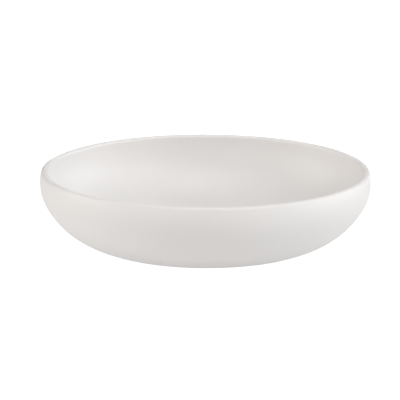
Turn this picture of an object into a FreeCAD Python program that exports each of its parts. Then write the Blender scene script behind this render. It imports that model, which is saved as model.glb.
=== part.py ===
import FreeCAD, Part
import math
import os

import Sketcher

# Flat-bottomed porcelain evaporating dish, about 100 mm across, as a parametric document.
#
# The dish is a one-piece porcelain body with two coats of glaze fused to it. The inside coat is
# poured: it lines the well and runs over the lip. The outside coat is dipped: it starts where the
# inside coat ends, just below the lip, and stops short of the base, which is left bare so that it
# doesn't stick to the kiln shelf. The coats touch the body and each other face to face.
#
# The section is a chain of tangent arcs. Outside: a flat base, a wide lower arc, a tighter side arc
# that ends upright at the belly, a shoulder arc that turns in above it, and a round lip. Inside, the
# well has a lower arc and a side arc of its own and no overhang: it is upright where it meets the
# lip. So the wall is thinnest at the base and the lip and a little thicker in the side.
#
# Millimetres, +Z up, origin at the centre of the base, on the surface that the dish stands on.

# alias, value, what it measures
DIMENSIONS = [
    ("outside_diameter", 100.0, "over the glaze, at the belly"),
    ("overall_height", 23.0, "base to the top of the lip, over the glaze"),
    ("lip_rise", 3.5, "from the belly, the widest part, up to the top of the lip"),
    ("side_reach", 24.0, "from the edge of the flat base out to the belly, over the glaze"),
    ("side_turn", 31.0, "degrees that each side arc turns before the lower arc takes over"),
    ("shoulder_radius", 12.0, "arc that turns in above the belly, over the glaze"),
    ("body_wall", 1.5, "porcelain without its glaze, at the base and across the lip"),
    ("glaze_coat", 0.25, "each coat of glaze"),
    ("bare_margin", 5.5, "from the edge of the flat base out to the edge of the outside coat"),
    ("glaze_edge_radius", 0.15, "rounding along the lower edge of the outside coat"),
    ("standing_width", 5.0, "flat ring that the dish stands on, from the recess to the base's edge"),
    ("recess_depth", 0.4, "turned recess under the base"),
    ("recess_edge_radius", 0.3, "rounding where the recess meets the standing face"),
]

# Recurring expressions in the sheet's own terms
BASE_EDGE = "(Dimensions.outside_diameter / 2 - Dimensions.side_reach)"
BELLY_HEIGHT = "(Dimensions.overall_height - Dimensions.lip_rise)"
LIP_RADIUS = "Dimensions.body_wall / 2"
LIP_CENTRE_HEIGHT = "(Dimensions.overall_height - Dimensions.glaze_coat - Dimensions.body_wall / 2)"
SHOULDER_CENTRE = "(Dimensions.outside_diameter / 2 - Dimensions.shoulder_radius)"

# Point positions on a sketch element, and the sketch's own axes
START, END, CENTRE = 1, 2, 3
HORIZONTAL_AXIS, VERTICAL_AXIS = -1, -2

STRAIGHT_DOWN = math.radians(-90)
HALF_TURN = math.radians(180)

# How near two sizes or places have to be to count as the same, in mm
MATCH = 1e-4

doc = FreeCAD.newDocument("EvaporatingDish")


def makeSheet():
    sheet = doc.addObject("Spreadsheet::Sheet", "Dimensions")
    for row, (alias, value, note) in enumerate(DIMENSIONS, start=1):
        sheet.set(f"A{row}", alias)
        sheet.set(f"B{row}", str(value))
        sheet.set(f"C{row}", note)
        sheet.setAlias(f"B{row}", alias)
    doc.recompute()
    return sheet


sheet = makeSheet()


class WallShape:
    """Where the section's arcs lie, from the sheet's values. The sketches start from these
    positions, and their constraints then hold them to the sheet."""

    def __init__(self):
        glaze = sheet.glaze_coat
        self.turn = math.radians(sheet.side_turn)
        self.baseEdge = sheet.outside_diameter / 2 - sheet.side_reach
        self.bellyHeight = sheet.overall_height - sheet.lip_rise
        rise = self.bellyHeight + glaze
        self.lowerRadius, self.sideRadius = curvePair(sheet.side_reach, rise, self.turn)
        self.shoulderRadius = sheet.shoulder_radius
        outer = sheet.outside_diameter / 2
        self.lowerCentre = FreeCAD.Vector(self.baseEdge, self.lowerRadius - glaze, 0)
        self.sideCentre = FreeCAD.Vector(outer - self.sideRadius, self.bellyHeight, 0)
        self.shoulderCentre = FreeCAD.Vector(outer - self.shoulderRadius, self.bellyHeight, 0)
        lipReach = self.shoulderRadius - glaze - sheet.body_wall / 2
        lipHeight = sheet.overall_height - glaze - sheet.body_wall / 2
        self.lipTurn = math.asin((lipHeight - self.bellyHeight) / lipReach)
        self.lipCentre = self.shoulderCentre + heading(self.lipTurn) * lipReach
        # The well's arcs lie on the porcelain, under the inside coat
        mouth = self.lipCentre.x - sheet.body_wall / 2
        climb = self.lipCentre.y - sheet.body_wall
        self.wellLowerRadius, self.wellSideRadius = curvePair(mouth - self.baseEdge, climb, self.turn)
        self.wellLowerCentre = FreeCAD.Vector(self.baseEdge, sheet.body_wall + self.wellLowerRadius, 0)
        self.wellSideCentre = FreeCAD.Vector(mouth - self.wellSideRadius, self.lipCentre.y, 0)

    def lowerPoint(self, angle, depth):
        """Point on the lower arc, at an angle about its centre, at a depth below the outside glaze."""
        return self.lowerCentre + heading(angle) * (self.lowerRadius - depth)

    def bareAngle(self):
        """Angle about the lower arc's centre at which the outside coat stops."""
        bodyRadius = self.lowerRadius - sheet.glaze_coat
        return STRAIGHT_DOWN + math.asin(sheet.bare_margin / bodyRadius)


def heading(angle):
    return FreeCAD.Vector(math.cos(angle), math.sin(angle), 0)


def curvePair(reach, rise, turn):
    """Radii of two tangent arcs that run from level to upright over a reach and a rise:
    lower * cosTurn + side * (1 - cosTurn) = reach, and
    lower * (1 - sinTurn) + side * sinTurn = rise."""
    cosTurn, sinTurn = math.cos(turn), math.sin(turn)
    spread = cosTurn * sinTurn - (1 - cosTurn) * (1 - sinTurn)
    lower = (reach * sinTurn - (1 - cosTurn) * rise) / spread
    side = (cosTurn * rise - (1 - sinTurn) * reach) / spread
    return lower, side


class Section:
    """A half section in the XZ plane of a body: sketch X is the radius and sketch Y the height."""

    def __init__(self, body, name):
        self.sketch = body.newObject("Sketcher::SketchObject", name)
        self.sketch.AttachmentSupport = (originFeature(body, "XZ_Plane"), [""])
        self.sketch.MapMode = "FlatFace"

    def line(self, start, end, construction=False):
        return self.sketch.addGeometry(Part.LineSegment(start, end), construction)

    def arc(self, centre, radius, fromAngle, toAngle):
        circle = Part.Circle(centre, FreeCAD.Vector(0, 0, 1), radius)
        return self.sketch.addGeometry(Part.ArcOfCircle(circle, fromAngle, toAngle), False)

    def constrain(self, *arguments):
        return self.sketch.addConstraint(Sketcher.Constraint(*arguments))

    def drive(self, name, expression, *arguments):
        """A dimension: a named constraint bound to the sheet."""
        index = self.constrain(*arguments)
        self.sketch.renameConstraint(index, name)
        self.sketch.setExpression(f"Constraints.{name}", expression)

    def radius(self, name, expression, element):
        self.drive(name, expression, "Radius", element, self.sketch.Geometry[element].Radius)

    def across(self, name, expression, element, end):
        """Distance of a point from the dish's axis."""
        place = self.sketch.getPoint(element, end).x
        self.drive(name, expression, "DistanceX", HORIZONTAL_AXIS, START, element, end, place)

    def height(self, name, expression, element, end):
        """Height of a point above the surface that the dish stands on."""
        place = self.sketch.getPoint(element, end).y
        self.drive(name, expression, "DistanceY", HORIZONTAL_AXIS, START, element, end, place)

    def smooth(self, *joints):
        """Joins ends, each (element, end, element, end), so that one runs tangent into the next."""
        for joint in joints:
            self.constrain("Tangent", *joint)

    def join(self, *joints):
        for joint in joints:
            self.constrain("Coincident", *joint)

    def wallRun(self, wall, depth, fromAngle, toAngle):
        """The outside's lower, side and shoulder arcs at one depth below the outside glaze, bottom
        to top, each tangent to the next, with the side and shoulder centres level with the belly."""
        lower = self.arc(wall.lowerCentre, wall.lowerRadius - depth, fromAngle, -wall.turn)
        side = self.arc(wall.sideCentre, wall.sideRadius - depth, -wall.turn, 0)
        shoulder = self.arc(wall.shoulderCentre, wall.shoulderRadius - depth, 0, toAngle)
        self.smooth((lower, END, side, START), (side, END, shoulder, START))
        return lower, side, shoulder

    def wellRun(self, wall, depth):
        """The well's lower and side arcs at one depth over the porcelain, from level to upright."""
        lowerRadius, sideRadius = wall.wellLowerRadius - depth, wall.wellSideRadius - depth
        lower = self.arc(wall.wellLowerCentre, lowerRadius, STRAIGHT_DOWN, -wall.turn)
        side = self.arc(wall.wellSideCentre, sideRadius, -wall.turn, 0)
        self.smooth((lower, END, side, START))
        return lower, side

    def holdRun(self, wall, run, depth):
        """Sizes one outside run from the sheet. Every other one in the sketch is concentric."""
        lower, side, shoulder = run
        outer = f"Dimensions.outside_diameter / 2 - {depth}"
        self.across("belly_radius", outer, side, END)
        self.height("belly_height", BELLY_HEIGHT, side, END)
        self.radius("shoulder", f"Dimensions.shoulder_radius - {depth}", shoulder)
        self.holdTurn(wall, "side", lower, side)

    def holdWell(self, wall, run, floor):
        """Sizes one run of the well's arcs. The lip that the side arc runs into does the rest."""
        self.height("well_floor", "Dimensions.body_wall", floor, END)
        self.holdTurn(wall, "well", *run)

    def holdTurn(self, wall, name, lower, side):
        """Sets where the lower arc starts, where it ends, and the side arc's upright end."""
        self.constrain("Horizontal", side, CENTRE, side, END)
        self.across(f"{name}_lower_centre", BASE_EDGE, lower, CENTRE)
        centre, joint = self.sketch.getPoint(lower, CENTRE), self.sketch.getPoint(lower, END)
        spoke = self.line(centre, joint, construction=True)
        self.join((spoke, START, lower, CENTRE), (spoke, END, lower, END))
        turn = "Dimensions.side_turn * 1 deg"
        self.drive(f"{name}_turn", turn, "Angle", spoke, END, HORIZONTAL_AXIS, END, wall.turn)

    def lipSpoke(self, wall):
        """Construction line from the shoulder arc's centre to the lip's, where the coats meet."""
        spoke = self.line(wall.shoulderCentre, wall.lipCentre, construction=True)
        reach = f"Dimensions.shoulder_radius - Dimensions.glaze_coat - {LIP_RADIUS}"
        lipReach = (wall.lipCentre - wall.shoulderCentre).Length
        self.drive("lip_reach", reach, "Distance", spoke, lipReach)
        self.height("lip_centre_height", LIP_CENTRE_HEIGHT, spoke, END)
        return spoke

    def concentric(self, run, other):
        for element, match in zip(run, other):
            self.constrain("Coincident", element, CENTRE, match, CENTRE)

    def check(self):
        doc.recompute()
        if self.sketch.solve() != 0 or not self.sketch.FullyConstrained:
            raise RuntimeError(f"{self.sketch.Name} isn't held by its dimensions")


def originFeature(body, role):
    return next(item for item in body.Origin.OriginFeatures if item.Role == role)


def makeBody(name):
    body = doc.addObject("PartDesign::Body", name)
    body.Label = name
    return body


def spin(body, section, kind, name):
    """Turns a section once round the dish's axis, to add material or to cut it away."""
    section.check()
    before = body.Tip.Shape.Volume if body.Tip else 0.0
    feature = body.newObject(f"PartDesign::{kind}", name)
    feature.Profile = section.sketch
    feature.ReferenceAxis = (section.sketch, ["V_Axis"])
    feature.Angle = 360
    section.sketch.Visibility = False
    doc.recompute()
    if kind == "Groove" and feature.Shape.Volume >= before:
        raise RuntimeError(f"{name} cuts nothing")
    return feature


def roundEdge(body, name, radius, height, expression):
    """Rounds the circular edge that lies round the dish's axis at a radius and height."""
    base = body.Tip
    centre = FreeCAD.Vector(0, 0, height)
    found = []
    for number, edge in enumerate(base.Shape.Edges, start=1):
        curve = edge.Curve
        if not isinstance(curve, Part.Circle) or not curve.Center.isEqual(centre, MATCH):
            continue
        if abs(curve.Radius - radius) < MATCH:
            found.append(f"Edge{number}")
    if not found:
        raise RuntimeError(f"{name}: no edge of radius {radius:.3f} at height {height:.3f}")
    fillet = body.newObject("PartDesign::Fillet", name)
    fillet.Base = (base, found)
    fillet.setExpression("Radius", expression)
    doc.recompute()
    return fillet


def porcelainBody(wall):
    """The fired body: one wall from the bare base to the lip, and a turned recess underneath."""
    body = makeBody("porcelain_body")
    glaze, thickness = sheet.glaze_coat, sheet.body_wall
    section = Section(body, "wall_section")
    outerRun = section.wallRun(wall, glaze, STRAIGHT_DOWN, wall.lipTurn)
    wellRun = section.wellRun(wall, 0)
    lip = section.arc(wall.lipCentre, thickness / 2, wall.lipTurn, HALF_TURN)
    middle = FreeCAD.Vector(0, 0, 0)
    centreOfWell = FreeCAD.Vector(0, thickness, 0)
    underside = section.line(middle, wall.lowerPoint(STRAIGHT_DOWN, glaze))
    well = section.line(FreeCAD.Vector(wall.baseEdge, thickness, 0), centreOfWell)
    axis = section.line(centreOfWell, middle)
    section.smooth(
        (underside, END, outerRun[0], START),
        (outerRun[2], END, lip, START),
        (lip, END, wellRun[1], END),
        (well, START, wellRun[0], START),
    )
    section.join((well, END, axis, START), (axis, END, underside, START))
    section.join((underside, START, HORIZONTAL_AXIS, START))
    section.constrain("Horizontal", underside)
    section.constrain("Horizontal", well)
    section.constrain("Vertical", axis)
    section.holdRun(wall, outerRun, "Dimensions.glaze_coat")
    section.holdWell(wall, wellRun, well)
    section.radius("lip_radius", LIP_RADIUS, lip)
    section.height("lip_centre_height", LIP_CENTRE_HEIGHT, lip, CENTRE)
    spin(body, section, "Revolution", "formed_dish")

    turned = Section(body, "recess_section")
    radius, depth = wall.baseEdge - sheet.standing_width, sheet.recess_depth
    corners = [(0, 0), (radius, 0), (radius, depth), (0, depth)]
    corners = [FreeCAD.Vector(x, y, 0) for x, y in corners]
    sides = [turned.line(a, b) for a, b in zip(corners, corners[1:] + corners[:1])]
    for side, following in zip(sides, sides[1:] + sides[:1]):
        turned.join((side, END, following, START))
    for level, upright in zip(sides[::2], sides[1::2]):
        turned.constrain("Horizontal", level)
        turned.constrain("Vertical", upright)
    turned.join((sides[0], START, HORIZONTAL_AXIS, START))
    turned.across("recess_radius", f"{BASE_EDGE} - Dimensions.standing_width", sides[0], END)
    turned.height("recess_depth", "Dimensions.recess_depth", sides[1], END)
    spin(body, turned, "Groove", "turned_recess")
    roundEdge(body, "recess_edge", radius, 0.0, "Dimensions.recess_edge_radius")
    return body


def insideGlaze(wall):
    """The poured coat: lines the well, runs over the lip and ends on its outer side."""
    body = makeBody("inside_glaze")
    glaze, thickness = sheet.glaze_coat, sheet.body_wall
    section = Section(body, "inside_coat_section")
    bodyRun = section.wellRun(wall, 0)
    coatRun = section.wellRun(wall, glaze)
    bodyLip = section.arc(wall.lipCentre, thickness / 2, wall.lipTurn, HALF_TURN)
    coatLip = section.arc(wall.lipCentre, thickness / 2 + glaze, wall.lipTurn, HALF_TURN)
    below = FreeCAD.Vector(0, thickness, 0)
    above = FreeCAD.Vector(0, thickness + glaze, 0)
    outToBend = FreeCAD.Vector(wall.baseEdge, 0, 0)
    bodyWell = section.line(below + outToBend, below)
    coatWell = section.line(above + outToBend, above)
    axis = section.line(above, below)
    outward = heading(wall.lipTurn)
    seamStart = wall.lipCentre + outward * (thickness / 2)
    seam = section.line(seamStart, seamStart + outward * glaze)
    section.smooth(
        (bodyWell, START, bodyRun[0], START),
        (bodyRun[1], END, bodyLip, END),
        (coatRun[1], END, coatLip, END),
        (coatWell, START, coatRun[0], START),
    )
    section.join(
        (axis, END, bodyWell, END),
        (axis, START, coatWell, END),
        (seam, START, bodyLip, START),
        (seam, END, coatLip, START),
        (bodyLip, CENTRE, coatLip, CENTRE),
    )
    section.concentric(coatRun, bodyRun)
    section.constrain("Vertical", axis)
    section.constrain("PointOnObject", axis, END, VERTICAL_AXIS)
    section.constrain("Horizontal", bodyWell)
    section.constrain("Horizontal", coatWell)
    section.holdWell(wall, bodyRun, bodyWell)
    section.radius("lip_radius", LIP_RADIUS, bodyLip)
    section.drive("coat", "Dimensions.glaze_coat", "Distance", seam, glaze)
    lipSpoke = section.lipSpoke(wall)
    section.across("shoulder_centre", SHOULDER_CENTRE, lipSpoke, START)
    section.height("belly_height", BELLY_HEIGHT, lipSpoke, START)
    section.join((lipSpoke, END, bodyLip, CENTRE))
    for end in (START, END):
        section.constrain("PointOnObject", seam, end, lipSpoke)
    spin(body, section, "Revolution", "poured_coat")
    return body


def outsideGlaze(wall):
    """The dipped coat: from the inside coat's edge below the lip down to the bare margin."""
    body = makeBody("outside_glaze")
    glaze = sheet.glaze_coat
    section = Section(body, "outside_coat_section")
    bareAngle = wall.bareAngle()
    coatRun = section.wallRun(wall, 0, bareAngle, wall.lipTurn)
    bodyRun = section.wallRun(wall, glaze, bareAngle, wall.lipTurn)
    outward = heading(wall.lipTurn)
    seamStart = wall.shoulderCentre + outward * (wall.shoulderRadius - glaze)
    seam = section.line(seamStart, seamStart + outward * glaze)
    edgeStart = wall.lowerPoint(bareAngle, glaze)
    edge = section.line(edgeStart, wall.lowerPoint(bareAngle, 0))
    section.join(
        (seam, START, bodyRun[2], END),
        (seam, END, coatRun[2], END),
        (edge, START, bodyRun[0], START),
        (edge, END, coatRun[0], START),
    )
    section.concentric(coatRun, bodyRun)
    section.holdRun(wall, bodyRun, "Dimensions.glaze_coat")
    section.constrain("Tangent", bodyRun[0], HORIZONTAL_AXIS)
    section.across("coat_edge", f"{BASE_EDGE} + Dimensions.bare_margin", edge, START)
    section.drive("coat", "Dimensions.glaze_coat", "Distance", edge, glaze)
    edgeSpoke = section.line(wall.lowerCentre, edgeStart, construction=True)
    section.join((edgeSpoke, START, bodyRun[0], CENTRE), (edgeSpoke, END, edge, START))
    section.constrain("PointOnObject", edge, END, edgeSpoke)
    lipSpoke = section.lipSpoke(wall)
    section.join((lipSpoke, START, bodyRun[2], CENTRE))
    for end in (START, END):
        section.constrain("PointOnObject", seam, end, lipSpoke)
    spin(body, section, "Revolution", "dipped_coat")

    corner = wall.lowerPoint(bareAngle, 0)
    roundEdge(body, "coat_edge", corner.x, corner.y, "Dimensions.glaze_edge_radius")
    return body


def checkDocument(bodies):
    doc.recompute()
    for item in doc.Objects:
        if "Invalid" in item.State or "Error" in item.State:
            raise RuntimeError(f"{item.Name} failed: {item.State}")
    for body in bodies:
        shape = body.Shape
        if shape.isNull() or not shape.isValid() or len(shape.Solids) != 1:
            raise RuntimeError(f"{body.Label} isn't one valid solid")


def main():
    wall = WallShape()
    bodies = [porcelainBody(wall), insideGlaze(wall), outsideGlaze(wall)]
    checkDocument(bodies)
    os.makedirs("parts", exist_ok=True)
    for body in bodies:
        body.Shape.exportStep(f"parts/{body.Label}.step")
        box = body.Shape.optimalBoundingBox(True, False)
        print(f"{body.Label}: {body.Shape.Volume:.1f} mm3, {box.XLength:.2f} x {box.YLength:.2f}"
              f" x {box.ZLength:.2f} mm, Z {box.ZMin:.3f} to {box.ZMax:.3f}")


main()
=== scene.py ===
import math
import bpy
from mathutils import Matrix, Vector, noise


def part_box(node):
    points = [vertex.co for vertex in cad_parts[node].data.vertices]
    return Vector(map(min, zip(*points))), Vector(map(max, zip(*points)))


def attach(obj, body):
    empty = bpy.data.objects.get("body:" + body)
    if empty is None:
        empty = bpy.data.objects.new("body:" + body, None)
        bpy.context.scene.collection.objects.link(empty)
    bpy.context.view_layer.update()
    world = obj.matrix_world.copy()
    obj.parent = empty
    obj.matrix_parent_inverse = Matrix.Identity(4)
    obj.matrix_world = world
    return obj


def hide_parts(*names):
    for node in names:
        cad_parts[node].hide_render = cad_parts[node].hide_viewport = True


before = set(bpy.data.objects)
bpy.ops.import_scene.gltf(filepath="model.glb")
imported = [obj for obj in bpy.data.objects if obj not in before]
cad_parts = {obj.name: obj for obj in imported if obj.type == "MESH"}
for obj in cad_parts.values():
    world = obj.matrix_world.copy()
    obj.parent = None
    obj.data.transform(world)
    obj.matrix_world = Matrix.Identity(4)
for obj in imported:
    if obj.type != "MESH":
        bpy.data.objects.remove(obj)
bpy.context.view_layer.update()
print("frame loaded:", ", ".join(sorted(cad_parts)))

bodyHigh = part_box("porcelain_body")[1]
wellLow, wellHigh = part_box("inside_glaze")
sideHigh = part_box("outside_glaze")[1]

# the wall's section, in metres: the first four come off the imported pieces, the rest repeat the design
section = {
    "radius": sideHigh.x,                    # over the glaze, at the belly
    "height": wellHigh.z,                    # base to the top of the lip
    "body": wellLow.z,                       # porcelain without glaze
    "glaze": wellHigh.z - bodyHigh.z,        # one coat
    "lipRise": 0.0035,                       # belly up to the top of the lip
    "sideReach": 0.024,                      # edge of the flat base out to the belly
    "sideTurn": math.radians(31),            # how far the side arc turns
    "shoulder": 0.012,                       # arc that turns in above the belly
}

# slow unevenness that every piece shares, so the coats stay on the body
kilnWarp = {
    "ovality": 0.00008,      # how far the mouth is out of round
    "lipWave": 0.00005,      # how far the lip dips and rises
    "fineShare": 0.4,        # a shorter wave on top of it
    "ovalTurn": 0.7,         # which way the long axis points, radians
    "waveTurn": 2.1,
}

around = 360                 # steps round the dish


# Radii of two tangent arcs that climb from level to upright over a reach and a rise
def curvePair(reach, rise, turn):
    cosTurn, sinTurn = math.cos(turn), math.sin(turn)
    spread = cosTurn * sinTurn - (1 - cosTurn) * (1 - sinTurn)
    lower = (reach * sinTurn - (1 - cosTurn) * rise) / spread
    return lower, (cosTurn * rise - (1 - sinTurn) * reach) / spread


# The section as arcs, each centre as (radius, height): outside over the glaze, inside on the porcelain
def wallArcs(s):
    belly = s["height"] - s["lipRise"]
    lower, side = curvePair(s["sideReach"], belly + s["glaze"], s["sideTurn"])
    baseEdge = s["radius"] - s["sideReach"]
    shoulderAt = (s["radius"] - s["shoulder"], belly)
    lipReach = s["shoulder"] - s["glaze"] - s["body"] / 2
    lipTurn = math.asin((s["height"] - s["glaze"] - s["body"] / 2 - belly) / lipReach)
    lipAt = (shoulderAt[0] + lipReach * math.cos(lipTurn), belly + lipReach * math.sin(lipTurn))
    # the well has no overhang: its side arc is upright where it meets the lip
    mouth = lipAt[0] - s["body"] / 2
    wellLower, wellSide = curvePair(mouth - baseEdge, lipAt[1] - s["body"], s["sideTurn"])
    return {
        "wellLower": (baseEdge, s["body"] + wellLower), "wellLowerRadius": wellLower,
        "wellSide": (mouth - wellSide, lipAt[1]), "wellSideRadius": wellSide,
        "lower": (baseEdge, lower - s["glaze"]), "lowerRadius": lower,
        "side": (s["radius"] - side, belly), "sideRadius": side,
        "shoulder": shoulderAt, "shoulderRadius": s["shoulder"],
        "lip": lipAt, "lipTurn": lipTurn, "baseEdge": baseEdge,
    }


arcs = wallArcs(section)
straightDown = -math.pi / 2


# A point of an outline: where it is, which way is out, and its shares of glaze ripple and edge wander
def point(radius, height, outR, outZ, ripple=0.0):
    return {"r": radius, "z": height, "outR": outR, "outZ": outZ, "ripple": ripple, "wander": 0.0}


def arcRun(centre, radius, fromAngle, toAngle, gap, facing=1, ripple=0.0):
    steps = max(2, math.ceil(abs(toAngle - fromAngle) * radius / gap))
    run = []
    for i in range(steps + 1):
        a = fromAngle + (toAngle - fromAngle) * i / steps
        c, s = math.cos(a), math.sin(a)
        run.append(point(centre[0] + radius * c, centre[1] + radius * s, facing * c, facing * s, ripple))
    return run


def flatRun(fromR, toR, height, gap, outZ, ripple=0.0):
    steps = max(2, math.ceil(abs(toR - fromR) / gap))
    return [point(fromR + (toR - fromR) * i / steps, height, 0, outZ, ripple) for i in range(steps + 1)]


# Side of the wall at one depth under the outside glaze, from low to high; tighter arcs get shorter steps
def wallRun(depth, fromAngle, gap, facing, ripple=0.0):
    turn, shoulder = section["sideTurn"], arcs["shoulderRadius"] - depth
    low = arcRun(arcs["lower"], arcs["lowerRadius"] - depth, fromAngle, -turn, gap, facing, ripple)
    mid = arcRun(arcs["side"], arcs["sideRadius"] - depth, -turn, 0, gap * 0.7, facing, ripple)
    top = arcRun(arcs["shoulder"], shoulder, 0, arcs["lipTurn"], gap * 0.6, facing, ripple)
    return low + mid[1:] + top[1:]


# Side of the well at one depth over the porcelain, from low to high
def wellRun(depth, gap, facing, ripple=0.0):
    turn = section["sideTurn"]
    low = arcRun(arcs["wellLower"], arcs["wellLowerRadius"] - depth, straightDown, -turn, gap, facing, ripple)
    high = arcRun(arcs["wellSide"], arcs["wellSideRadius"] - depth, -turn, 0, gap * 0.8, facing, ripple)
    return low + high[1:]


def lipRun(radius, gap, facing, ripple=0.0):
    return arcRun(arcs["lip"], radius, math.pi, arcs["lipTurn"], gap, facing, ripple)


# the whole dish is a little out of true, as fired ware is, but stands flat
def warped(x, y, z):
    angle = math.atan2(y, x)
    lift = min(1.0, max(0.0, z / section["height"]))
    lift = lift * lift * (3 - 2 * lift)
    swell = 1 + kilnWarp["ovality"] / section["radius"] * math.cos(2 * angle - kilnWarp["ovalTurn"]) * lift
    wave = math.cos(2 * angle - kilnWarp["waveTurn"])
    wave += kilnWarp["fineShare"] * math.cos(5 * angle + kilnWarp["waveTurn"])
    return Vector((x * swell, y * swell, z + kilnWarp["lipWave"] * wave * lift * lift))


glazeRipple = {
    "deep": 0.000016,        # metres, long swells where the glaze ran
    "deepSize": 0.016,
    "fine": 0.000004,        # shorter ones
    "fineSize": 0.0055,
}


def rippleHeight(at):
    deep = noise.noise(at / glazeRipple["deepSize"]) * glazeRipple["deep"]
    return deep + noise.noise(at / glazeRipple["fineSize"] + Vector((9, 4, 2))) * glazeRipple["fine"]


# how far the bottom edge of the dipped coat strays along the wall
edgeWander = {"reach": 0.00055, "slow": 3.0, "fast": 9.0, "fastShare": 0.45}


def wanderAt(angle):
    onCircle = Vector((math.cos(angle), math.sin(angle), 0))
    slow = noise.noise(onCircle * edgeWander["slow"] + Vector((3, 7, 1)))
    fast = noise.noise(onCircle * edgeWander["fast"])
    return edgeWander["reach"] * (slow + edgeWander["fastShare"] * fast)


def placed(p, angle, wander):
    r, z, outR, outZ = p["r"], p["z"], p["outR"], p["outZ"]
    if p["wander"]:
        # slides round the centre of the lower arc, so it stays on the wall
        a = wander * p["wander"] / arcs["lowerRadius"]
        dr, dz = r - arcs["lower"][0], z - arcs["lower"][1]
        r = arcs["lower"][0] + dr * math.cos(a) - dz * math.sin(a)
        z = arcs["lower"][1] + dr * math.sin(a) + dz * math.cos(a)
    c, s = math.cos(angle), math.sin(angle)
    if p["ripple"]:
        push = rippleHeight(Vector((r * c, r * s, z))) * p["ripple"]
        r += outR * push
        z += outZ * push
    return warped(r * c, r * s, z)


# The outline run the way that turns its faces outward
def outward(outline):
    area = sum(a["r"] * b["z"] - b["r"] * a["z"] for a, b in zip(outline, outline[1:] + outline[:1]))
    return outline if area > 0 else outline[::-1]


# A closed solid of revolution: the outline either starts and ends on the axis or runs in a loop
def latheMesh(name, outline):
    outline = outward(outline)
    onAxis = outline[0]["r"] < 1e-9
    rings = outline[1:-1] if onAxis else outline
    verts, faces = [], []
    for i in range(around):
        angle = math.tau * i / around
        wander = wanderAt(angle)
        verts += [placed(p, angle, wander) for p in rings]
    count = len(rings)
    for i in range(around):
        here, after = i * count, ((i + 1) % around) * count
        for j in range(count if not onAxis else count - 1):
            k = (j + 1) % count
            faces.append((here + j, after + j, after + k, here + k))
    if onAxis:
        first = len(verts)
        verts += [placed(outline[0], 0, 0), placed(outline[-1], 0, 0)]
        for i in range(around):
            here, after = i * count, ((i + 1) % around) * count
            faces.append((first, after, here))
            faces.append((first + 1, here + count - 1, after + count - 1))
    mesh = bpy.data.meshes.new(name)
    mesh.from_pydata(verts, [], faces)
    mesh.validate()
    for face in mesh.polygons:
        face.use_smooth = True
    mesh.set_sharp_from_angle(angle=math.radians(40))    # keeps the seam and the foot crisp
    piece = bpy.data.objects.new(name, mesh)
    bpy.context.scene.collection.objects.link(piece)
    return piece


# The glaze poured inside: well, over the lip, down to the seam on its outer side
wellCoat = {
    "gap": 0.0007,           # steps of the outline: side, floor and lip where they show, then where hidden
    "floorGap": 0.0009,
    "lipGap": 0.00022,
    "hiddenGap": 0.0013,
    "hiddenFloorGap": 0.003,
    "hiddenLipGap": 0.00065,
}


def makeWellGlaze():
    g, w = section["glaze"], section["body"]
    edge = arcs["baseEdge"]
    shown = flatRun(0, edge, w + g, wellCoat["floorGap"], 1, 1.0)
    shown += wellRun(g, wellCoat["gap"], -1, 1.0)[1:]
    shown += lipRun(w / 2 + g, wellCoat["lipGap"], 1, 1.0)[1:]
    hidden = lipRun(w / 2, wellCoat["hiddenLipGap"], -1)[::-1]
    hidden += wellRun(0, wellCoat["hiddenGap"], 1)[::-1][1:]
    hidden += flatRun(edge, 0, w, wellCoat["hiddenFloorGap"], -1)[1:]
    return latheMesh("well_glaze", shown + hidden)


# The glaze dipped outside: seam, belly, side, and a rolled edge above the bare foot
sideCoat = {
    "gap": 0.0007,
    "hiddenGap": 0.0013,
    "bareMargin": 0.0055,    # base edge out to the glaze edge
    "roll": 0.0006,          # length over which the edge thins out
    "rollSteps": 9,
    "bead": 0.00006,         # how much the glaze gathers behind its edge
    "beadWidth": 0.0024,
    "wanderFade": 0.007,     # how far up the wall the straying edge is felt
}


def makeSideGlaze():
    g = section["glaze"]
    lowerRadius = arcs["lowerRadius"]
    bare = straightDown + math.asin(sideCoat["bareMargin"] / (lowerRadius - g))
    hidden = wallRun(g, bare, sideCoat["hiddenGap"], -1)
    shown = wallRun(0, bare + sideCoat["roll"] / lowerRadius, sideCoat["gap"], 1, 1.0)
    # the edge rounds off from full thickness to nothing, with a slight bead behind it
    edgeRun = []
    for i in range(1, sideCoat["rollSteps"]):
        part = i / sideCoat["rollSteps"]
        depth = g * (1 - math.sqrt(1 - (1 - part) ** 2))
        a = bare + sideCoat["roll"] * part / lowerRadius
        c, s = math.cos(a), math.sin(a)
        reach, at = lowerRadius - depth, arcs["lower"]
        edgeRun.append(point(at[0] + reach * c, at[1] + reach * s, c, s, part))
    loop = hidden + shown[::-1] + edgeRun[::-1]
    for p in loop:
        turned = math.atan2(p["z"] - arcs["lower"][1], p["r"] - arcs["lower"][0]) - bare
        along = turned * lowerRadius             # length up the wall from the glaze edge
        p["wander"] = max(0.0, 1 - along / sideCoat["wanderFade"]) ** 2
        if p["ripple"] and 0 < along < sideCoat["beadWidth"]:
            gather = math.sin(math.pi * along / sideCoat["beadWidth"]) ** 2 * sideCoat["bead"]
            p["r"] += p["outR"] * gather
            p["z"] += p["outZ"] * gather
    return latheMesh("side_glaze", loop)


# The fired body under both coats: only its turned foot shows
foot = {
    "standing": 0.005,       # width of the ring it stands on
    "recess": 0.0004,        # how deep the middle is turned out
    "recessRound": 0.0003,
    "toolGap": 0.00085,      # spacing of the turning rings
    "toolDepth": 0.000016,
    "gap": 0.00021,          # steps of the outline: recess, standing ring, rounded edge
    "standGap": 0.00042,
    "roundGap": 0.00008,
    "wallGap": 0.0009,       # and under the coats: outer wall, lip, well and floor
    "lipGap": 0.0005,
    "wellGap": 0.0013,
    "floorGap": 0.003,
}


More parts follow.
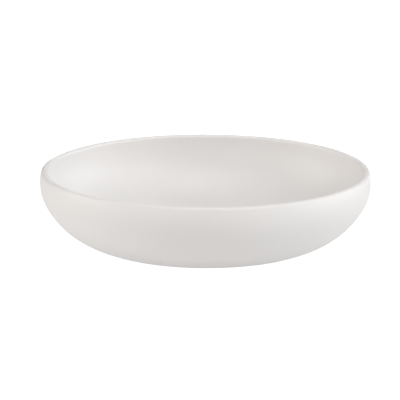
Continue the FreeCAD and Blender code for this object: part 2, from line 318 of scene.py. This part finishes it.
def makeFiredBody():
    g, w = section["glaze"], section["body"]
    edge = arcs["baseEdge"]
    rim = edge - foot["standing"]
    rounding = foot["recessRound"]
    under = flatRun(0, rim - foot["recess"], foot["recess"], foot["gap"], -1)
    for p in under:
        turns = p["r"] / foot["toolGap"]
        deepen = (0.5 - 0.5 * math.cos(math.tau * turns)) * foot["toolDepth"]
        p["z"] += deepen * min(1.0, turns / 2)   # none at the very middle
    # the recess curves down to the rounded edge of the standing ring
    step = [point(rim - foot["recess"] * 0.55, foot["recess"] * 0.97, 0, -1)]
    step += [point(rim - foot["recess"] * 0.25, foot["recess"] * 0.80, 0, -1)]
    step += arcRun((rim + rounding, rounding), rounding, math.pi, math.pi * 1.5, foot["roundGap"])
    stand = flatRun(rim + rounding, edge, 0, foot["standGap"], -1)[1:]
    outer = wallRun(g, straightDown, foot["wallGap"], 1)[1:]
    lip = lipRun(w / 2, foot["lipGap"], 1)[::-1][1:]
    inner = wellRun(0, foot["wellGap"], -1)[::-1][1:]
    floor = flatRun(edge, 0, w, foot["floorGap"], 1)[1:]
    return latheMesh("fired_body", under + step + stand + outer + lip + inner + floor)


wellGlaze = makeWellGlaze()
sideGlaze = makeSideGlaze()
firedBody = makeFiredBody()
for piece, node in ((wellGlaze, "inside_glaze"), (sideGlaze, "outside_glaze"), (firedBody, "porcelain_body")):
    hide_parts(node)
    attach(piece, "root")
    print(piece.name, "made with", len(piece.data.polygons), "faces")


# Helpers for node trees
def put(tree, kind, inputs=None, **settings):
    node = tree.nodes.new(kind)
    node.location = (len(tree.nodes) * 190, -120 * (len(tree.nodes) % 3))
    for name, value in settings.items():
        setattr(node, name, value)
    for name, value in (inputs or {}).items():
        if isinstance(value, bpy.types.NodeSocket):
            tree.links.new(value, node.inputs[name])
        else:
            node.inputs[name].default_value = value
    return node


def sums(tree, operation, a, b=0.0, c=0.0):
    return put(tree, "ShaderNodeMath", {0: a, 1: b, 2: c}, operation=operation).outputs[0]


# value from one range to another, eased and held at its ends
def ramped(tree, value, low, high, toLow=0.0, toHigh=1.0):
    ranges = {"Value": value, "From Min": low, "From Max": high, "To Min": toLow, "To Max": toHigh}
    return put(tree, "ShaderNodeMapRange", ranges, interpolation_type="SMOOTHSTEP").outputs[0]


def mixed(tree, share, a, b):
    node = put(tree, "ShaderNodeMix", data_type="RGBA", clamp_factor=True)
    for name, value in (("Factor_Float", share), ("A_Color", a), ("B_Color", b)):
        spot = next(s for s in node.inputs if s.identifier == name)
        if isinstance(value, bpy.types.NodeSocket):
            tree.links.new(value, spot)
        else:
            spot.default_value = value
    return next(s for s in node.outputs if s.identifier == "Result_Color")


def newGroup(name, inputs, outputs):
    tree = bpy.data.node_groups.new(name, "ShaderNodeTree")
    kinds = {"value": "NodeSocketFloat", "colour": "NodeSocketColor"}
    for label, kind, start in inputs:
        spot = tree.interface.new_socket(name=label, in_out="INPUT", socket_type=kinds[kind])
        spot.default_value = start
    for label, kind in outputs:
        tree.interface.new_socket(name=label, in_out="OUTPUT", socket_type=kinds[kind])
    return tree, put(tree, "NodeGroupInput").outputs, put(tree, "NodeGroupOutput").inputs


def useGroup(tree, group, inputs):
    node = put(tree, "ShaderNodeGroup", node_tree=group)
    for name, value in inputs.items():
        if isinstance(value, bpy.types.NodeSocket):
            tree.links.new(value, node.inputs[name])
        else:
            node.inputs[name].default_value = value
    return node.outputs


# Cloudy drift between two tones, stronger towards a height: the glaze is thin at the lip and pools below
def makeKilnTone():
    tree, given, out = newGroup(
        "kilnTone",
        [("Thin", "colour", (1, 1, 1, 1)), ("Pooled", "colour", (1, 1, 1, 1)), ("Patch Size", "value", 0.02),
         ("Pool Height", "value", 0.004), ("Thin Height", "value", 0.023), ("Cloud", "value", 0.3)],
        [("Colour", "colour")],
    )
    at = put(tree, "ShaderNodeTexCoord").outputs["Object"]
    scale = sums(tree, "DIVIDE", 1.0, given["Patch Size"])
    cloud = put(tree, "ShaderNodeTexNoise", {"Vector": at, "Scale": scale, "Detail": 4.0, "Roughness": 0.55})
    height = put(tree, "ShaderNodeSeparateXYZ", {"Vector": at}).outputs["Z"]
    thin = ramped(tree, height, given["Pool Height"], given["Thin Height"])
    drift = sums(tree, "SUBTRACT", cloud.outputs["Fac"], 0.5)
    share = sums(tree, "MULTIPLY_ADD", drift, given["Cloud"], thin)
    tree.links.new(mixed(tree, share, given["Pooled"], given["Thin"]), out["Colour"])
    return tree


# Sparse specks from iron in the clay, each its own size
def makeIronSpecks():
    tree, given, out = newGroup(
        "ironSpecks",
        [("Colour", "colour", (1, 1, 1, 1)), ("Speck", "colour", (0.3, 0.2, 0.1, 1)),
         ("Spacing", "value", 0.006), ("Size", "value", 0.0002), ("Share", "value", 0.1),
         ("Strength", "value", 0.5)],
        [("Colour", "colour"), ("Mask", "value")],
    )
    at = put(tree, "ShaderNodeTexCoord").outputs["Object"]
    scale = sums(tree, "DIVIDE", 1.0, given["Spacing"])
    cell = put(tree, "ShaderNodeTexVoronoi", {"Vector": at, "Scale": scale})
    draw = put(tree, "ShaderNodeSeparateColor", {"Color": cell.outputs["Color"]}).outputs
    chosen = sums(tree, "LESS_THAN", draw["Red"], given["Share"])
    away = sums(tree, "MULTIPLY", cell.outputs["Distance"], given["Spacing"])
    reach = sums(tree, "MULTIPLY", given["Size"], sums(tree, "MULTIPLY_ADD", draw["Green"], 0.9, 0.35))
    spot = ramped(tree, away, reach, sums(tree, "MULTIPLY", reach, 0.35))
    mask = sums(tree, "MULTIPLY", sums(tree, "MULTIPLY", spot, chosen), given["Strength"])
    tree.links.new(mixed(tree, mask, given["Colour"], given["Speck"]), out["Colour"])
    tree.links.new(mask, out["Mask"])
    return tree


# The skin of fired glaze: an even orange peel with a few pinholes, as a height in metres
def makeGlazeSkin():
    tree, given, out = newGroup(
        "glazeSkin",
        [("Peel Size", "value", 0.0012), ("Peel Depth", "value", 0.000001), ("Pin Spacing", "value", 0.008),
         ("Pin Size", "value", 0.00025), ("Pin Share", "value", 0.1), ("Pin Depth", "value", 0.00003)],
        [("Height", "value"), ("Pins", "value")],
    )
    at = put(tree, "ShaderNodeTexCoord").outputs["Object"]
    scale = sums(tree, "DIVIDE", 1.0, given["Peel Size"])
    peel = put(tree, "ShaderNodeTexNoise", {"Vector": at, "Scale": scale, "Detail": 1.5, "Roughness": 0.4})
    cells = sums(tree, "DIVIDE", 1.0, given["Pin Spacing"])
    shifted = put(tree, "ShaderNodeVectorMath", {0: at, 1: (0.013, 0.029, 0.007)}, operation="ADD").outputs[0]
    cell = put(tree, "ShaderNodeTexVoronoi", {"Vector": shifted, "Scale": cells})
    draw = put(tree, "ShaderNodeSeparateColor", {"Color": cell.outputs["Color"]}).outputs
    chosen = sums(tree, "LESS_THAN", draw["Blue"], given["Pin Share"])
    away = sums(tree, "MULTIPLY", cell.outputs["Distance"], given["Pin Spacing"])
    pins = sums(tree, "MULTIPLY", ramped(tree, away, given["Pin Size"], 0.0), chosen)
    raised = sums(tree, "MULTIPLY", peel.outputs["Fac"], given["Peel Depth"])
    sunk = sums(tree, "MULTIPLY", pins, given["Pin Depth"])
    tree.links.new(sums(tree, "SUBTRACT", raised, sunk), out["Height"])
    tree.links.new(pins, out["Pins"])
    return tree


# Hairline marks from spatulas and washing: thin bends where a noise crosses its middle, kept to patches
def makeHairMarks():
    tree, given, out = newGroup(
        "hairMarks",
        [("Length", "value", 0.02), ("Width", "value", 0.01), ("Patch Size", "value", 0.02),
         ("Cover", "value", 0.5)],
        [("Mask", "value")],
    )
    at = put(tree, "ShaderNodeTexCoord").outputs["Object"]
    found = []
    for turn, shift in ((0.4, 0.0), (1.5, 0.31), (2.6, 0.73)):      # three ways round, each moved along
        move = {"Vector": at, "Location": (shift, shift, 0), "Rotation": (0, 0, turn), "Scale": (1, 5, 1)}
        drawn = put(tree, "ShaderNodeMapping", move).outputs[0]
        scale = sums(tree, "DIVIDE", 1.0, given["Length"])
        lines = put(tree, "ShaderNodeTexNoise", {"Vector": drawn, "Scale": scale, "Detail": 2.0})
        off = sums(tree, "ABSOLUTE", sums(tree, "SUBTRACT", lines.outputs["Fac"], 0.5))
        found.append(ramped(tree, off, given["Width"], 0.0))
    most = sums(tree, "MAXIMUM", sums(tree, "MAXIMUM", found[0], found[1]), found[2])
    patchScale = sums(tree, "DIVIDE", 1.0, given["Patch Size"])
    patches = put(tree, "ShaderNodeTexNoise", {"Vector": at, "Scale": patchScale, "Detail": 3.0})
    bare = sums(tree, "SUBTRACT", 1.0, given["Cover"])
    shown = ramped(tree, patches.outputs["Fac"], bare, sums(tree, "ADD", bare, 0.15))
    tree.links.new(sums(tree, "MULTIPLY", most, shown), out["Mask"])
    return tree


kilnTone = makeKilnTone()
ironSpecks = makeIronSpecks()
glazeSkin = makeGlazeSkin()
hairMarks = makeHairMarks()
print("shared effects:", ", ".join(g.name for g in bpy.data.node_groups))


def newMaterial(name):
    material = bpy.data.materials.new(name)
    material.use_nodes = True
    tree = material.node_tree
    tree.nodes.clear()
    shader = put(tree, "ShaderNodeBsdfPrincipled")
    put(tree, "ShaderNodeOutputMaterial", {"Surface": shader.outputs[0]})
    return material, tree, shader


wellFinish = {
    "thin": (0.816, 0.794, 0.779, 1), "pooled": (0.811, 0.791, 0.779, 1),
    "rough": 0.42, "roughSpread": 0.05, "markRough": 0.05, "markCover": 0.42,
}
sideFinish = {
    "thin": (0.816, 0.793, 0.777, 1), "pooled": (0.811, 0.789, 0.774, 1),
    "rough": 0.42, "roughSpread": 0.05, "markRough": 0.04, "markCover": 0.34,
}


# what both coats share; sizes and depths in metres
glazeDetail = {
    "cloudSize": 0.021, "cloud": 0.8,
    "speck": (0.42, 0.36, 0.29, 1), "speckSpacing": 0.0055, "speckSize": 0.00016, "speckShare": 0.10,
    "speckStrength": 0.4,
    "peelSize": 0.0016, "peelDepth": 0.0000022,
    "pinSpacing": 0.0075, "pinSize": 0.00022, "pinShare": 0.08, "pinDepth": 0.00002,
    "markLength": 0.013, "markWidth": 0.007, "markPatch": 0.018,
    "sheenScale": 70.0, "refraction": 1.5,
}


def makeGlaze(name, finish, poolHeight):
    detail = glazeDetail
    material, tree, shader = newMaterial(name)
    tone = useGroup(tree, kilnTone, {
        "Thin": finish["thin"], "Pooled": finish["pooled"], "Patch Size": detail["cloudSize"],
        "Pool Height": poolHeight, "Thin Height": section["height"], "Cloud": detail["cloud"],
    })
    specks = useGroup(tree, ironSpecks, {
        "Colour": tone["Colour"], "Speck": detail["speck"], "Spacing": detail["speckSpacing"],
        "Size": detail["speckSize"], "Share": detail["speckShare"], "Strength": detail["speckStrength"],
    })
    skin = useGroup(tree, glazeSkin, {
        "Peel Size": detail["peelSize"], "Peel Depth": detail["peelDepth"],
        "Pin Spacing": detail["pinSpacing"], "Pin Size": detail["pinSize"],
        "Pin Share": detail["pinShare"], "Pin Depth": detail["pinDepth"],
    })
    marks = useGroup(tree, hairMarks, {
        "Length": detail["markLength"], "Width": detail["markWidth"], "Patch Size": detail["markPatch"],
        "Cover": finish["markCover"],
    })
    at = put(tree, "ShaderNodeTexCoord").outputs["Object"]
    sheenLook = {"Vector": at, "Scale": detail["sheenScale"], "Detail": 3.0, "Roughness": 0.5}
    sheen = put(tree, "ShaderNodeTexNoise", sheenLook)
    low, high = finish["rough"] - finish["roughSpread"], finish["rough"] + finish["roughSpread"]
    rough = ramped(tree, sheen.outputs["Fac"], 0.3, 0.7, low, high)
    rough = sums(tree, "MULTIPLY_ADD", marks["Mask"], finish["markRough"], rough)
    bump = put(tree, "ShaderNodeBump", {"Height": skin["Height"], "Distance": 1.0, "Strength": 1.0})
    tree.links.new(specks["Colour"], shader.inputs["Base Color"])
    tree.links.new(rough, shader.inputs["Roughness"])
    tree.links.new(bump.outputs[0], shader.inputs["Normal"])
    shader.inputs["IOR"].default_value = detail["refraction"]
    return material


bisqueFinish = {
    "light": (0.79, 0.765, 0.73, 1), "dark": (0.75, 0.72, 0.68, 1), "scuff": (0.50, 0.49, 0.47, 1),
    "rough": 0.64, "grainRough": 0.16, "scuffRough": -0.2,
    "grainSize": 0.00045, "grainDepth": 0.000012, "cloudSize": 0.011, "cloud": 1.6, "cloudHeight": 0.004,
    "speck": (0.30, 0.22, 0.15, 1), "speckSpacing": 0.0028, "speckSize": 0.00019, "speckShare": 0.22,
    "speckStrength": 0.6,
    "markLength": 0.009, "markWidth": 0.02, "markPatch": 0.007, "markCover": 0.55,
    "scuffHeight": 0.00012,  # metres above the bench that the scuffs reach
}


# bare porcelain: matte, a little sandy, with grey scuffs where it has slid on a bench
def makeBisque():
    look = bisqueFinish
    material, tree, shader = newMaterial("bareBisque")
    tone = useGroup(tree, kilnTone, {
        "Thin": look["light"], "Pooled": look["dark"], "Patch Size": look["cloudSize"],
        "Pool Height": -look["cloudHeight"], "Thin Height": look["cloudHeight"], "Cloud": look["cloud"],
    })
    specks = useGroup(tree, ironSpecks, {
        "Colour": tone["Colour"], "Speck": look["speck"], "Spacing": look["speckSpacing"],
        "Size": look["speckSize"], "Share": look["speckShare"], "Strength": look["speckStrength"],
    })
    at = put(tree, "ShaderNodeTexCoord").outputs["Object"]
    grain = put(tree, "ShaderNodeTexNoise", {
        "Vector": at, "Scale": 1 / look["grainSize"], "Detail": 3.0, "Roughness": 0.6,
    }).outputs["Fac"]
    marks = useGroup(tree, hairMarks, {
        "Length": look["markLength"], "Width": look["markWidth"], "Patch Size": look["markPatch"],
        "Cover": look["markCover"],
    })
    height = put(tree, "ShaderNodeSeparateXYZ", {"Vector": at}).outputs["Z"]
    touching = ramped(tree, height, look["scuffHeight"], 0.0)
    scuff = sums(tree, "MULTIPLY", touching, sums(tree, "MULTIPLY_ADD", marks["Mask"], 0.7, 0.25))
    colour = mixed(tree, scuff, specks["Colour"], look["scuff"])
    rough = sums(tree, "MULTIPLY_ADD", grain, look["grainRough"], look["rough"])
    rough = sums(tree, "MULTIPLY_ADD", scuff, look["scuffRough"], rough)
    raised = sums(tree, "MULTIPLY", grain, look["grainDepth"])
    bump = put(tree, "ShaderNodeBump", {"Height": raised, "Distance": 1.0, "Strength": 1.0})
    tree.links.new(colour, shader.inputs["Base Color"])
    tree.links.new(rough, shader.inputs["Roughness"])
    tree.links.new(bump.outputs[0], shader.inputs["Normal"])
    return material


wellGlaze.data.materials.append(makeGlaze("pouredGlaze", wellFinish, section["body"]))
sideGlaze.data.materials.append(makeGlaze("dippedGlaze", sideFinish, 0.0))
firedBody.data.materials.append(makeBisque())
print("materials:", ", ".join(p.data.materials[0].name for p in (wellGlaze, sideGlaze, firedBody)))


# Floor: a pale light table, matte, a shade lifted where the camera sees it so that it reads as white
floorLook = {
    "size": 6.0, "drop": 0.00002, "colour": (0.36, 0.36, 0.36, 1), "rough": 0.9, "shine": 0.1,
    "glow": 0.48,            # its own light, for everything
    "lift": 0.48,            # added only where the camera sees it
}


def makeFloor():
    half = floorLook["size"] / 2
    mesh = bpy.data.meshes.new("floor")
    corners = [(-half, -half), (half, -half), (half, half), (-half, half)]
    mesh.from_pydata([(x, y, -floorLook["drop"]) for x, y in corners], [], [(0, 1, 2, 3)])
    floor = bpy.data.objects.new("floor", mesh)
    bpy.context.scene.collection.objects.link(floor)
    material, tree, shader = newMaterial("paleFloor")
    shader.inputs["Base Color"].default_value = floorLook["colour"]
    shader.inputs["Roughness"].default_value = floorLook["rough"]
    shader.inputs["Specular IOR Level"].default_value = floorLook["shine"]
    shader.inputs["Emission Color"].default_value = (1, 1, 1, 1)
    seen = put(tree, "ShaderNodeLightPath").outputs["Is Camera Ray"]
    glow = sums(tree, "MULTIPLY_ADD", seen, floorLook["lift"], floorLook["glow"])
    tree.links.new(glow, shader.inputs["Emission Strength"])
    mesh.materials.append(material)


makeFloor()

# Lights: each a soft panel on a dome round the dish
lamps = {
    # azimuth from the camera's side, positive to the right, and elevation in degrees; sizes in metres; watts
    # the light from the right is a shade cooler than the light from the left
    "keyRight": {
        "azimuth": 60, "elevation": 40, "wide": 0.8, "tall": 0.8, "power": 5.4, "tint": (0.975, 0.99, 1),
    },
    "lowRight": {
        "azimuth": 102, "elevation": 10, "wide": 1.2, "tall": 0.8, "power": 8.8, "tint": (0.945, 0.98, 1),
    },
    "lowLeft": {
        "azimuth": -90, "elevation": 10, "wide": 0.8, "tall": 0.8, "power": 7.5, "tint": (1, 0.98, 0.95),
    },
    "lowFront": {
        "azimuth": -30, "elevation": 10, "wide": 0.8, "tall": 0.8, "power": 3.15, "tint": (1, 0.985, 0.97),
    },
    "overhead": {
        "azimuth": 0, "elevation": 68, "wide": 0.8, "tall": 0.8, "power": 5.65, "tint": (1, 0.99, 0.98),
    },
    "behind": {
        "azimuth": 180, "elevation": 40, "wide": 0.8, "tall": 0.8, "power": 2.4, "tint": (1, 1, 1),
    },
}
lampDistance = 1.2
worldLook = {"strength": 0.08, "seen": 0.92, "colour": (1, 1, 1, 1)}      # seen: only for the camera


def makeLamp(name, look):
    data = bpy.data.lights.new(name, "AREA")
    data.shape = "RECTANGLE"
    data.size = look["wide"]
    data.size_y = look["tall"]
    data.energy = look["power"]
    data.color = look["tint"]
    lamp = bpy.data.objects.new(name, data)
    a, e = math.radians(look["azimuth"]), math.radians(look["elevation"])
    out = Vector((math.sin(a) * math.cos(e), -math.cos(a) * math.cos(e), math.sin(e)))
    lamp.location = Vector((0, 0, section["height"] / 2)) + out * lampDistance
    lamp.rotation_euler = out.to_track_quat("Z", "Y").to_euler()
    lamp.visible_camera = False
    bpy.context.scene.collection.objects.link(lamp)


for name, look in lamps.items():
    makeLamp(name, look)

world = bpy.data.worlds.new("studio")
bpy.context.scene.world = world
world.use_nodes = True
backdrop = next(n for n in world.node_tree.nodes if n.type == "BACKGROUND")
backdrop.inputs["Color"].default_value = worldLook["colour"]
seen = put(world.node_tree, "ShaderNodeLightPath").outputs["Is Camera Ray"]
backdropStrength = sums(world.node_tree, "MULTIPLY_ADD", seen, worldLook["seen"], worldLook["strength"])
world.node_tree.links.new(backdropStrength, backdrop.inputs["Strength"])
bpy.context.scene.view_settings.view_transform = "Standard"
print("lights:", ", ".join(lamps))


# Camera: a long lens a little above the rim
cameraLook = {
    "elevation": math.radians(13.4),
    "distance": 33.3,        # in dish radii
    "frame": 2.425,          # width of the picture at the dish, in dish radii
    "dishRight": 0.0127,     # base centre from the middle of the picture, in picture widths
    "dishDown": 0.1096,
    "roll": math.radians(0.25),
    "nearest": 0.01,         # metres, what the camera can see
    "farthest": 20,
}


def makeCamera():
    look, radius = cameraLook, section["radius"]
    data = bpy.data.cameras.new("camera")
    distance, width = look["distance"] * radius, look["frame"] * radius
    data.lens = data.sensor_width * distance / width
    data.clip_start, data.clip_end = look["nearest"], look["farthest"]
    camera = bpy.data.objects.new("camera", data)
    back = Vector((0, -math.cos(look["elevation"]), math.sin(look["elevation"])))
    turn = (-back).to_track_quat("-Z", "Y").to_matrix() @ Matrix.Rotation(look["roll"], 3, "Z")
    right, up = turn @ Vector((1, 0, 0)), turn @ Vector((0, 1, 0))
    aim = (up * look["dishDown"] - right * look["dishRight"]) * width
    camera.location = aim + back * distance
    camera.rotation_euler = turn.to_euler()
    bpy.context.scene.collection.objects.link(camera)
    bpy.context.scene.camera = camera


makeCamera()
